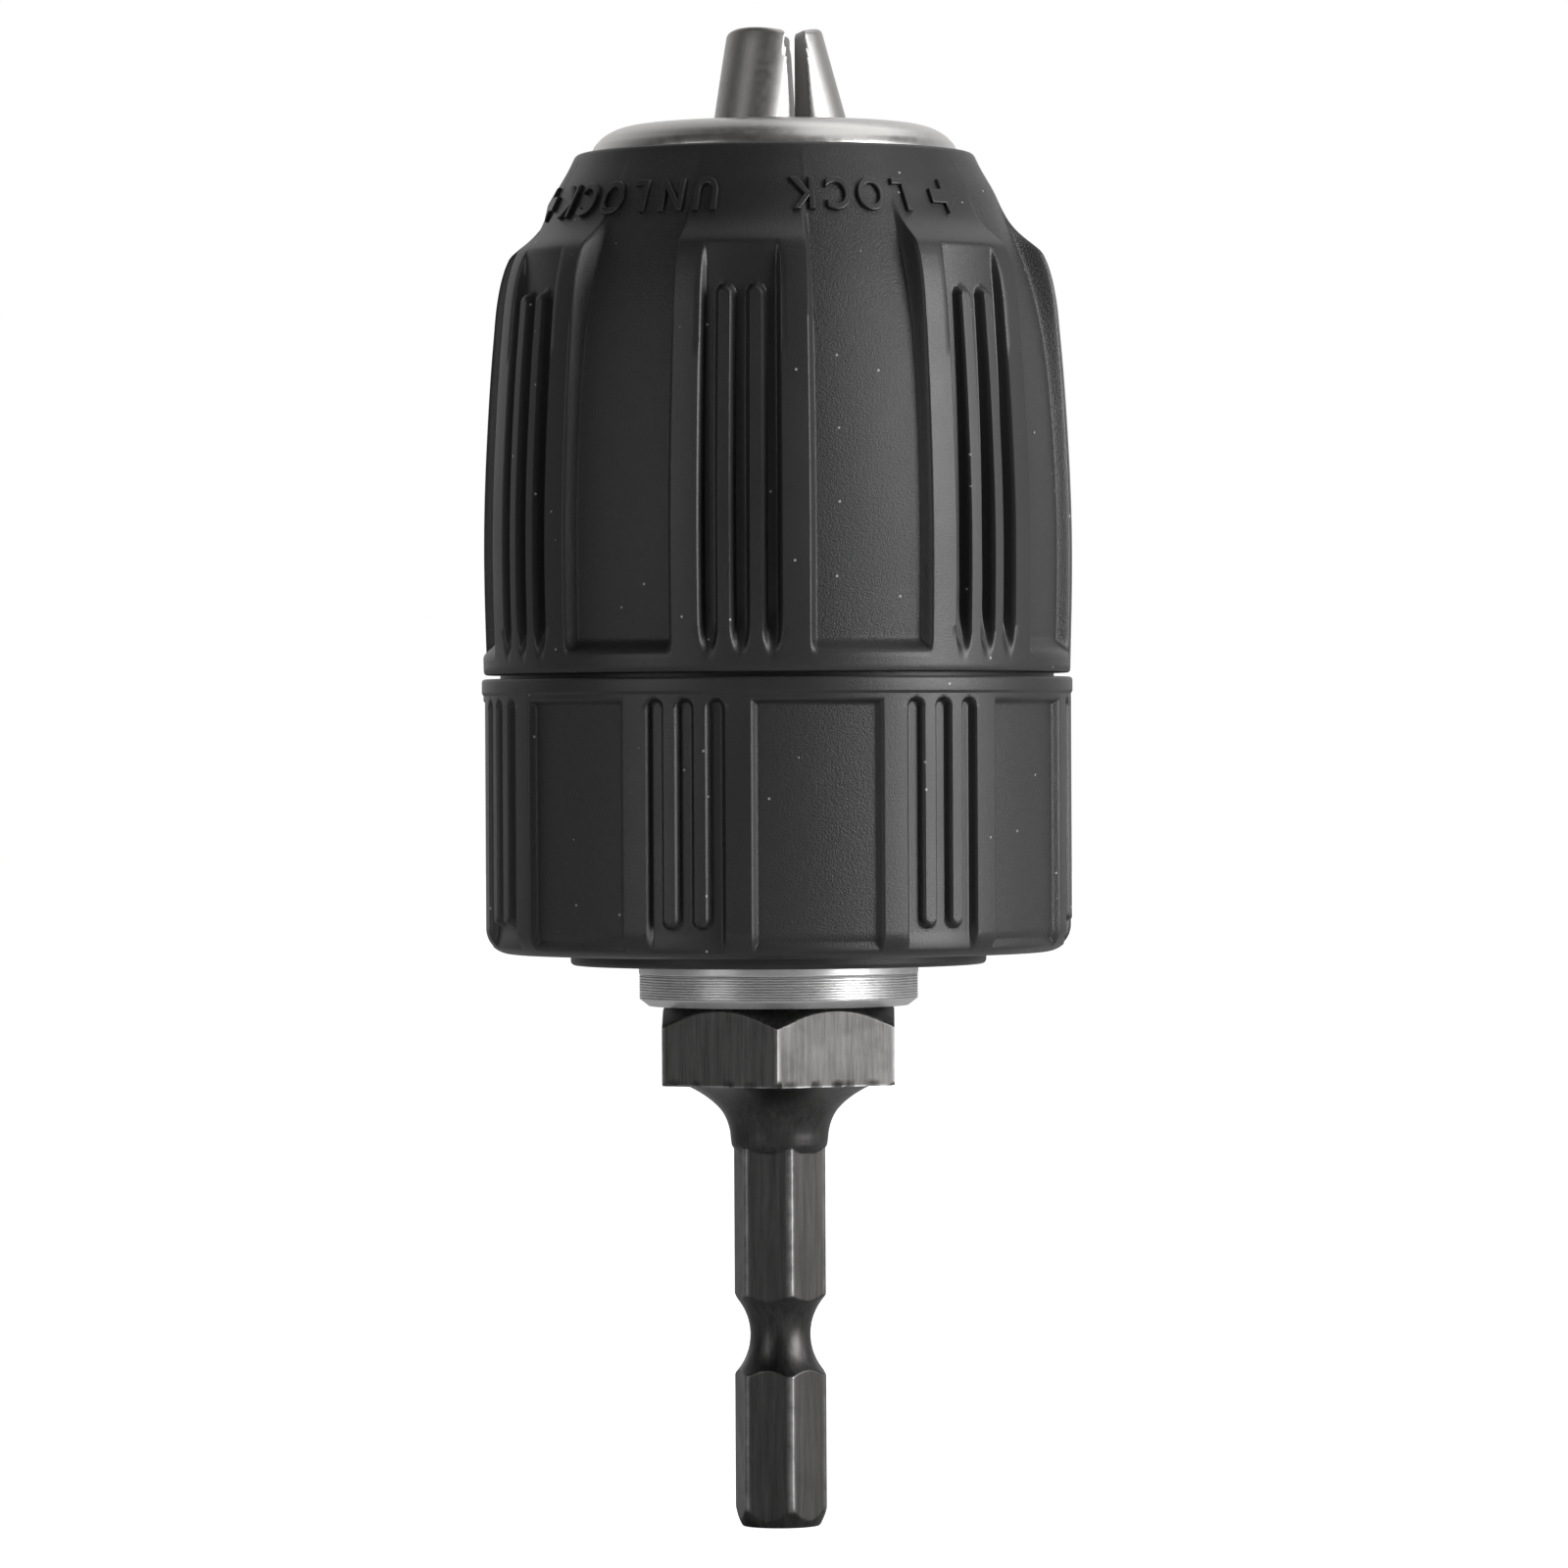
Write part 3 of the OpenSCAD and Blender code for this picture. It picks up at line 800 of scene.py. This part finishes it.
def softest(*radii, hard=90):
    """The smallest of several radii, eased where two are equal."""
    stack = np.array(np.broadcast_arrays(*radii), float)
    least = stack.min(axis=0)
    return least * np.sum((stack / least) ** -hard, axis=0) ** (-1 / hard)


def shank_turned(height):
    """The turned outline of the shank: its corners, its tapered end and the detent groove."""
    corner = np.full_like(height, SHANK_CORNER)
    end = 2.95 + np.maximum(height - adapter_low, 0) * 0.46
    inside = np.clip(4.2**2 - (height - GROOVE_HEIGHT) ** 2, 0, None)
    groove = np.where(np.abs(height - GROOVE_HEIGHT) < 4.1, 6.48 - np.sqrt(inside), 9)
    return np.minimum(np.minimum(corner, end), groove)


flare = fair_curve(
    (adapter_low + 28.3, 3.3), (adapter_low + 28.7, 3.58), (adapter_low + 29.1, 3.66),
    (adapter_low + 29.8, 3.74), (adapter_low + 30.6, 3.96), (adapter_low + 31.4, 4.4),
    (adapter_low + 32.2, 5.22), (adapter_low + 32.8, 6.1), (adapter_low + 33.2, 6.85),
    (WRENCH_LOW, FLARE_TOP))
print(f"adapter: {SHANK_FLATS} mm across the shank's flats, {WRENCH_FLATS} mm across the wrench's")


# %% Skin the adapter
extra = []
for turn_angle, spread, count in ((SHANK_TURN, 3.6, 9), (WRENCH_TURN, 2.4, 9)):
    extra += [turn_angle + math.radians(60 * k) + np.radians(np.linspace(-spread, spread, count))
              for k in range(6)]
adapter_angles = np.unique(np.round(np.concatenate(
    extra + [np.linspace(0, 2 * math.pi, 180, endpoint=False)]) % (2 * math.pi), 4))
shank_heights = adapter_low + np.concatenate([
    np.arange(0.12, 1.4, 0.1), np.arange(1.6, 10.8, 1.2), np.arange(11, 12.4, 0.08),
    np.arange(12.5, 16.4, 0.25), np.arange(16.5, 17.9, 0.08), np.arange(18.2, 27, 1.2),
    np.arange(27.2, 30, 0.1), np.arange(30.2, 33.3, 0.2)])
tall = shank_heights[:, None]
around = adapter_angles[None, :]
shank_hex = softest(hexagon(around, SHANK_TURN, SHANK_FLATS), shank_turned(tall), hard=260)
shank_radii = np.maximum(shank_hex, np.where(tall > FLARE_FOOT, flare(tall), 0))
wrench_heights = np.concatenate([
    WRENCH_LOW + np.array([0, 0.06, 0.15, 0.28, 0.42]), np.arange(WRENCH_LOW + 0.6, SEAT - 2, 0.7),
    np.arange(SEAT - 1.9, SEAT, 0.06), [SEAT]])
chamfer = 8.5 + (SEAT - wrench_heights) * 1.05
foot_break = WRENCH_FLATS / math.sqrt(3) - 0.22 + (wrench_heights - WRENCH_LOW) * 1.4
wrench_radii = softest(hexagon(around, WRENCH_TURN, WRENCH_FLATS),
                       np.minimum(chamfer, foot_break)[:, None], hard=400)
nicks = np.clip(np.sin(41 * around) * np.sin(17 * around + 1) + 0.3 * np.sin(71 * around) - 0.4,
                0, 1)
wrench_radii *= 1 - 0.05 * nicks * np.clip(1 - (wrench_heights - WRENCH_LOW) / 0.42, 0, 1)[:, None]
stud = [(8.4, SEAT), (5.6, SEAT, 0.2)]
for k in range(STUD_TURNS):
    foot = SEAT + 1.2 + STUD_PITCH * k
    stud += [(5.6, foot), (6.25, foot + STUD_PITCH / 2, 0.06)]
stud += [(5.6, adapter_high - 0.9), (4.8, adapter_high, 0.1), (2.55, adapter_high, 0.1),
         (2.55, adapter_high - 8)]
stud_line = outline(*stud)[1:]
adapter_grid = np.concatenate([
    ring_of(2.9 + 0 * tall[:1], [adapter_low], adapter_angles),
    ring_of(shank_radii, shank_heights, adapter_angles),
    ring_of(FLARE_TOP + 0 * tall[:1], [WRENCH_LOW], adapter_angles),
    ring_of(wrench_radii, wrench_heights, adapter_angles),
    ring_of(stud_line[:, :1], stud_line[:, 1], adapter_angles)])
hex_adapter = fit(skin("hex_drive_adapter", adapter_grid, hollow=False), "hex_adapter")


def corner_wear(radii, inner, outer, power):
    """Grows from 0 at the inner radius to 1 at the outer one, where the black has rubbed off."""
    return np.clip((radii - inner) / (outer - inner), 0, 1) ** power


mark(hex_adapter, "wear", np.concatenate([
    0.3 + 0 * adapter_angles,
    (corner_wear(shank_radii, 3.45, SHANK_CORNER, 2) * (tall < adapter_low + 28.6)).ravel(),
    0 * adapter_angles,
    np.maximum(corner_wear(wrench_radii, 9.9, 10.08, 2),
               (wrench_heights < WRENCH_LOW + 0.1)[:, None] * 0.7).ravel(),
    np.zeros(len(stud_line) * len(adapter_angles))]))

# %% [markdown]
# The body is the one large turning that everything hangs on. Its outline has a groove for the nut,
# a ledge for the bearing, a collar for the rear sleeve and, at the tail, a bright boss with fine
# turning rings. The three leaning jaw bores are cut with exact booleans, as a drill would
# cut them, after the turning is skinned.

# %% The body
body_low, body_high = span("chuck_body")
TAIL_RADIUS = 10.56
RING_PITCH = 0.2
BORE_RADIUS = 3.55
BORE_BELOW = 57.5
BORE_ABOVE = 5
ledge = body_low + 32.3
boss_rings = []
for k in range(9):
    foot = body_low + 0.62 + RING_PITCH * k
    boss_rings += [(TAIL_RADIUS - 0.03, foot), (TAIL_RADIUS - 0.09, foot + 0.07),
                   (TAIL_RADIUS - 0.03, foot + 0.14)]
thread = []
for k in range(STUD_TURNS):
    foot = body_low + 1.2 + STUD_PITCH * k
    thread += [(5.68, foot), (6.33, foot + STUD_PITCH / 2)]
body_line = outline(
    (TAIL_RADIUS - 0.75, body_low, 0.1), (TAIL_RADIUS - 0.05, body_low + 0.55, 0.2), *boss_rings,
    (TAIL_RADIUS - 0.05, body_low + 2.42), (TAIL_RADIUS, body_low + 2.5, 0.05),
    (TAIL_RADIUS, body_low + 6.1, 0.2), (19, body_low + 6.1, 0.4), (19, body_low + 14.7, 0.4),
    (16.2, body_low + 16.2, 0.6), (16.2, ledge - 5.6, 0.6), (18.7, ledge - 4.1, 0.4),
    (18.7, ledge + 0.6, 0.2), (18.25, ledge + 0.6, 0.1), (18.25, ledge, 0.05), (13.6, ledge, 0.2),
    (13.6, body_low + 36, 0.2), (11, body_low + 36, 0.3), (11, body_low + 44.6, 0.3),
    (14.6, body_low + 44.6, 0.3), (14.6, body_low + 59.4, 0.5), (12.9, body_low + 59.4, 0.2),
    (12.9, body_high, 0.5), (6.6, body_high, 0.35), (6.6, body_low + 19.7, 0.3),
    (2.9, body_low + 19.7, 0.2), (2.9, body_low + 16.7), (5.65, body_low + 16.7), *thread[::-1],
    (6.55, body_low + 0.9), (6.55, body_low))
body = turned("body_turning", body_line, 192)


def cut_jaw_bores(piece):
    meeting = Vector((0, 0, JAW_MEETING))
    for node in jaw_nodes:
        axis = jaw_axis[node]
        far, near = meeting - axis * BORE_BELOW, meeting + axis * BORE_ABOVE
        bpy.ops.mesh.primitive_cylinder_add(
            vertices=96, radius=BORE_RADIUS * MM, depth=(near - far).length * MM,
            location=(near + far) / 2 * MM, rotation=axis.to_track_quat("Z", "Y").to_euler())
        cutter = bpy.context.object
        cutting = piece.modifiers.new("jaw_bore", "BOOLEAN")
        cutting.object = cutter
        cutting.operation = "DIFFERENCE"
        cutting.solver = "EXACT"
        graph = bpy.context.evaluated_depsgraph_get()
        cut = bpy.data.meshes.new_from_object(piece.evaluated_get(graph))
        piece.modifiers.clear()
        piece.data = cut
        bpy.data.objects.remove(cutter)
    piece.data.shade_smooth()
    piece.data.set_sharp_from_angle(angle=SHARP_EDGE)


cut_jaw_bores(body)
fit(body, "chuck_body")
print("body faces after the bores:", len(body.data.polygons))

# %% [markdown]
# The rest of the mechanism is out of sight until the chuck is taken apart: the split nut and its
# band, the balls, their cage and races, and the screw. Their engineering shapes are already
# right, so they stay as they are and only get their finish.

# %% Finish the pieces inside
for node in ("nut_half_a", "nut_half_b", "nut_band", "bearing_balls", "ball_cage",
             "thrust_washer_front", "thrust_washer_rear", "retaining_screw"):
    inside = frame["nodes"][node]
    inside.data.materials.clear()
    inside.data.materials.append(finishes[slot_of[node]])
    print(node, "is made in", slot_of[node])

# %% [markdown]
# The chuck is lit with one tall softbox at the right, a weaker one beside it, one at the left
# and a wide one overhead, against white. The tall boxes draw the long soft highlights down the
# sleeves. The surroundings are bright to the camera and dimmer as a source of light,
# because black plastic shows every bit of light around it.

# %% Floor and surroundings
FLOOR_SIDE = 6.0
FLOOR_GAP = 0.00002
FRONT_GLOW = 0.065
BACK_GLOW = 0.9
bpy.ops.mesh.primitive_plane_add(size=FLOOR_SIDE, location=(0, 0, cad_bounds[0].z - FLOOR_GAP))
floor = bpy.context.object
floor.name = "pale_floor"
floor_finish, floor_tree, floor_shader, floor_place = new_finish("pale_floor", 0, 0.0)
floor_tone = noise(floor_tree, floor_place, 3, 2, 0.5)
floor_tree.links.new(blend_colours(floor_tree, floor_tone, grey(0.60), grey(0.62)),
                     floor_shader.inputs["Base Color"])
floor_shader.inputs["Roughness"].default_value = 0.9
floor_shader.inputs["Emission Color"].default_value = (1, 1, 1, 1)
floor_seen = add(floor_tree, "ShaderNodeLightPath").outputs["Is Camera Ray"]
floor_tree.links.new(between(floor_tree, floor_seen, 0, 1, 0.0, 0.95),
                     floor_shader.inputs["Emission Strength"])
floor.data.materials.append(floor_finish)

world = bpy.data.worlds.new("white_studio")
bpy.context.scene.world = world
world.use_nodes = True
air = world.node_tree
seen = add(air, "ShaderNodeLightPath").outputs["Is Camera Ray"]
direction = add(air, "ShaderNodeTexCoord").outputs["Generated"]
backwards = add(air, "ShaderNodeSeparateXYZ", {"Vector": direction}).outputs["Y"]
glow = between(air, backwards, 0.1, 0.9, FRONT_GLOW, BACK_GLOW)
backdrop = air.nodes["Background"]
backdrop.inputs["Color"].default_value = (1, 1, 1, 1)
air.links.new(maths(air, "MAXIMUM", glow, seen), backdrop.inputs["Strength"])
print(f"floor of {FLOOR_SIDE:.0f} m and a world that glows {FRONT_GLOW} in front, {BACK_GLOW} behind")


# %% Softboxes
CHUCK_MIDDLE = 0.06


def softbox(name, degrees, distance, height, wide, high, brightness):
    """A lit panel that stands degrees to the right of the front and faces the chuck."""
    panel = bpy.data.lights.new(name, "AREA")
    panel.shape = "RECTANGLE"
    panel.size = wide
    panel.size_y = high
    panel.energy = brightness * math.pi * wide * high
    lamp = bpy.data.objects.new(name, panel)
    bpy.context.scene.collection.objects.link(lamp)
    side = math.radians(degrees)
    lamp.location = (distance * math.sin(side), -distance * math.cos(side), height)
    aim = Vector((0, 0, CHUCK_MIDDLE)) - lamp.location
    lamp.rotation_euler = aim.to_track_quat("-Z", "Y").to_euler()
    print(f"{name}: {panel.energy:.2f} W")


softbox("key_right", 61, 0.60, 0.12, 0.24, 0.60, 13.0)
softbox("side_right", 88, 0.60, 0.10, 0.16, 0.60, 2.4)
softbox("fill_left", -50, 0.70, 0.12, 0.20, 0.60, 3.4)
softbox("overhead", 100, 0.22, 0.58, 0.70, 0.34, 1.3)

# %% [markdown]
# The camera stands level with the joint between the two sleeves, a long lens away, so the hex
# and the nose keep their true proportions and both rims bow only slightly.

# %% Camera
CAMERA_FAR = 0.637
CAMERA_HEIGHT = 0.0597
AIM_HEIGHT = 0.0560
ASIDE = 0.00048
LENS = 193.6
ROLL = math.radians(-0.295)
camera_data = bpy.data.cameras.new("camera")
camera_data.sensor_width = 36
camera_data.lens = LENS
camera_data.clip_start = 0.01
camera = bpy.data.objects.new("camera", camera_data)
bpy.context.scene.collection.objects.link(camera)
camera.location = (ASIDE, -CAMERA_FAR, CAMERA_HEIGHT)
view = Vector((ASIDE, 0, AIM_HEIGHT)) - camera.location
camera.rotation_euler = view.to_track_quat("-Z", "Y").to_euler()
camera.rotation_euler.rotate_axis("Z", ROLL)
bpy.context.scene.camera = camera
bpy.context.scene.view_settings.view_transform = "Standard"
bpy.context.scene.view_settings.look = "None"
print("camera distance:", CAMERA_FAR)

# %% [markdown]
# Last, the view layer is brought up to date.

# %% Bring the scene up to date
bpy.context.view_layer.update()
